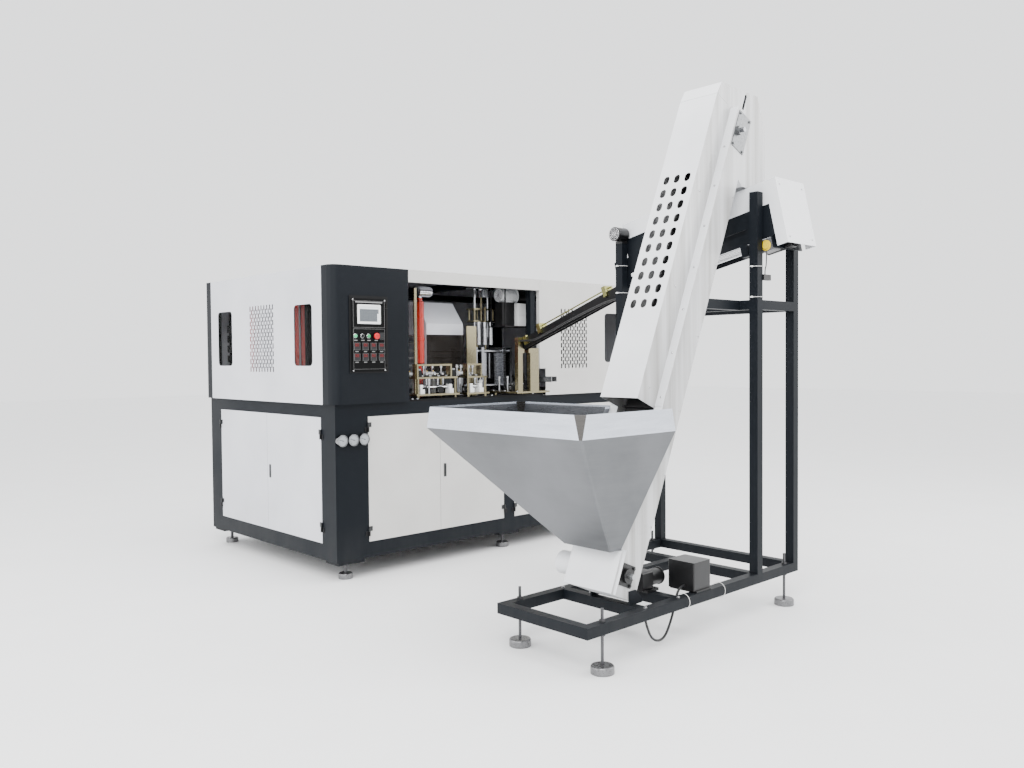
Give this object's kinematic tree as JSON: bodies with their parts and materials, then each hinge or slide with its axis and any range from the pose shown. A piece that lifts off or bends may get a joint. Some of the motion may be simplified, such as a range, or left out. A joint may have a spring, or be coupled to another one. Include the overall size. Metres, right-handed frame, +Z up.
{
  "type": "blow moulding machine",
  "caption": "Stretch blow moulding machine with a clamp and heater in its cabinet, fed by a hopper, a cleated elevator, a roller sorter and a chute.",
  "frame": {"origin": "middle of the floor area under the whole machine, feeder included", "axes": "+X to the right along the front, +Y from the feeder to the machine's back, +Z up"},
  "size_m": [3.06, 4.0974, 2.7934],
  "materials": {
    "dark_frame": "satin",
    "dark_panel": "fine texture",
    "black_deck": "satin",
    "black_fittings": "satin",
    "white_panel": "fine texture",
    "white_feeder": "satin",
    "red_paint": "gloss",
    "stud_steel": "blackened",
    "pad_steel": "zinc plated",
    "machined_steel": "machined",
    "galvanised": "galvanised",
    "hopper_steel": "brushed",
    "chromed_steel": "polished",
    "zinc_plate": "yellow zinc",
    "cast_silver": "cast, painted silver",
    "bezel_metal": "polished",
    "white_plastic": "gloss",
    "black_plastic": "matte",
    "green_plastic": "gloss",
    "red_plastic": "gloss",
    "screen": "glossy",
    "clear_pane": "clear",
    "smoked_pane": "smoked",
    "belt_rubber": "matte",
    "cable_rubber": "matte"
  },
  "bodies": {
    "machine": {"base_frame": "dark_frame", "bearing_blocks": "white_plastic", "bearing_plates": "galvanised", "blower_shelf": "black_fittings", "cabinet_frame": "dark_frame", "chrome_shafts": "chromed_steel", "chute_clamps": "zinc_plate", "chute_hose": "cable_rubber", "chute_rails": "black_fittings", "clamp_bed": "machined_steel", "control_frame": "black_fittings", "corner_panels": "dark_panel", "deck_plate": "black_deck", "door_hinges": "black_fittings", "drive_cable": "cable_rubber", "drive_motors": "black_fittings", "elevator_belt": "belt_rubber", "elevator_cover": "white_feeder", "elevator_trough": "white_feeder", "fan_motors": "cast_silver", "feeder_frame": "dark_frame", "foot_pads": "pad_steel", "front_panels": "white_panel", "head_hood": "white_feeder", "heater_hood": "white_panel", "heater_shield": "smoked_pane", "hopper": "hopper_steel", "left_panel": "white_panel", "levelling_studs": "stud_steel", "outlet_channel": "white_plastic", "plain_panels": "white_panel", "pressure_gauges": "bezel_metal", "red_uprights": "red_paint", "sensor_cable": "cable_rubber", "sorter_covers": "white_feeder", "sorter_frame": "dark_frame", "stretch_gantry": "chromed_steel", "transfer_tables": "zinc_plate", "window_panes": "clear_pane"},
    "front_door_1": {"front_door_1": "white_panel"},
    "front_door_2": {"front_door_2": "white_panel"},
    "front_door_3": {"front_door_3": "white_panel"},
    "front_door_4": {"front_door_4": "white_panel"},
    "end_door_1": {"end_door_1": "white_panel"},
    "end_door_2": {"end_door_2": "white_panel"},
    "control_door": {"control_door": "black_fittings", "screen_bezel": "white_plastic", "screen_glass": "screen", "panel_meters": "black_plastic", "button_bezels": "bezel_metal"},
    "start_button": {"start_button": "green_plastic"},
    "stop_button": {"stop_button": "red_plastic"},
    "selector_knob": {"selector_knob": "black_plastic"},
    "left_platen": {"left_platen": "machined_steel"},
    "right_platen": {"right_platen": "machined_steel"},
    "stretch_carriage": {"stretch_carriage": "zinc_plate"},
    "head_drum": {"head_drum": "machined_steel"},
    "tail_drum": {"tail_drum": "white_feeder"},
    "sorter_roller_1": {"sorter_roller_1": "chromed_steel"},
    "sorter_roller_2": {"sorter_roller_2": "chromed_steel"}
  },
  "joints": [
    {"name": "front_door_1_hinge", "type": "hinge", "parent": "machine", "child": "front_door_1", "pos_m": [-1.162, 0.27172, 0.62], "axis": [0, 0, 1], "range_deg": [-110, 0]},
    {"name": "front_door_2_hinge", "type": "hinge", "parent": "machine", "child": "front_door_2", "pos_m": [0.002, 0.27172, 0.62], "axis": [0, 0, 1], "range_deg": [0, 110]},
    {"name": "front_door_3_hinge", "type": "hinge", "parent": "machine", "child": "front_door_3", "pos_m": [0.101, 0.27172, 0.62], "axis": [0, 0, 1], "range_deg": [-110, 0]},
    {"name": "front_door_4_hinge", "type": "hinge", "parent": "machine", "child": "front_door_4", "pos_m": [1.262, 0.27172, 0.62], "axis": [0, 0, 1], "range_deg": [0, 110]},
    {"name": "end_door_1_hinge", "type": "hinge", "parent": "machine", "child": "end_door_1", "pos_m": [-1.407, 0.44372, 0.62], "axis": [0, 0, 1], "range_deg": [0, 110]},
    {"name": "end_door_2_hinge", "type": "hinge", "parent": "machine", "child": "end_door_2", "pos_m": [-1.407, 1.85372, 0.62], "axis": [0, 0, 1], "range_deg": [-110, 0]},
    {"name": "control_door_hinge", "type": "hinge", "parent": "machine", "child": "control_door", "pos_m": [-1.042, 0.23742, 1.53], "axis": [0, 0, 1], "range_deg": [0, 105]},
    {"name": "start_button_press", "type": "slide", "parent": "control_door", "child": "start_button", "axis": [0, 1, 0], "range_m": [0, 0.004], "stiffness_N_per_m": 600},
    {"name": "stop_button_press", "type": "slide", "parent": "control_door", "child": "stop_button", "axis": [0, 1, 0], "range_m": [0, 0.004], "stiffness_N_per_m": 600},
    {"name": "selector_turn", "type": "hinge", "parent": "control_door", "child": "selector_knob", "pos_m": [-1.22, 0.23372, 1.524], "axis": [0, 1, 0], "range_deg": [-45, 45]},
    {"name": "left_platen_slide", "type": "slide", "parent": "machine", "child": "left_platen", "axis": [1, 0, 0], "range_m": [0, 0.0395]},
    {"name": "right_platen_slide", "type": "slide", "parent": "machine", "child": "right_platen", "axis": [-1, 0, 0], "range_m": [0, 0.0395]},
    {"name": "stretch_carriage_slide", "type": "slide", "parent": "machine", "child": "stretch_carriage", "axis": [0, 0, 1], "range_m": [0, 0.045]},
    {"name": "head_drum_turn", "type": "hinge", "parent": "machine", "child": "head_drum", "pos_m": [-0.21436, -1.68628, 2.56774], "axis": [0, 1, 0], "continuous": true},
    {"name": "tail_drum_turn", "type": "hinge", "parent": "machine", "child": "tail_drum", "pos_m": [-1.14743, -1.68628, 0.36957], "axis": [0, 1, 0], "continuous": true},
    {"name": "sorter_roller_1_turn", "type": "hinge", "parent": "machine", "child": "sorter_roller_1", "pos_m": [-0.002, -1.50313, 1.96078], "axis": [0, 0.9763, -0.2164], "continuous": true},
    {"name": "sorter_roller_2_turn", "type": "hinge", "parent": "machine", "child": "sorter_roller_2", "pos_m": [0.102, -1.50313, 1.96078], "axis": [0, 0.9763, -0.2164], "continuous": true}
  ],
  "couplings": [
    {"joint": "right_platen_slide", "follows": "left_platen_slide", "ratio": 1},
    {"joint": "tail_drum_turn", "follows": "head_drum_turn", "ratio": 1},
    {"joint": "sorter_roller_2_turn", "follows": "sorter_roller_1_turn", "ratio": -1}
  ]
}
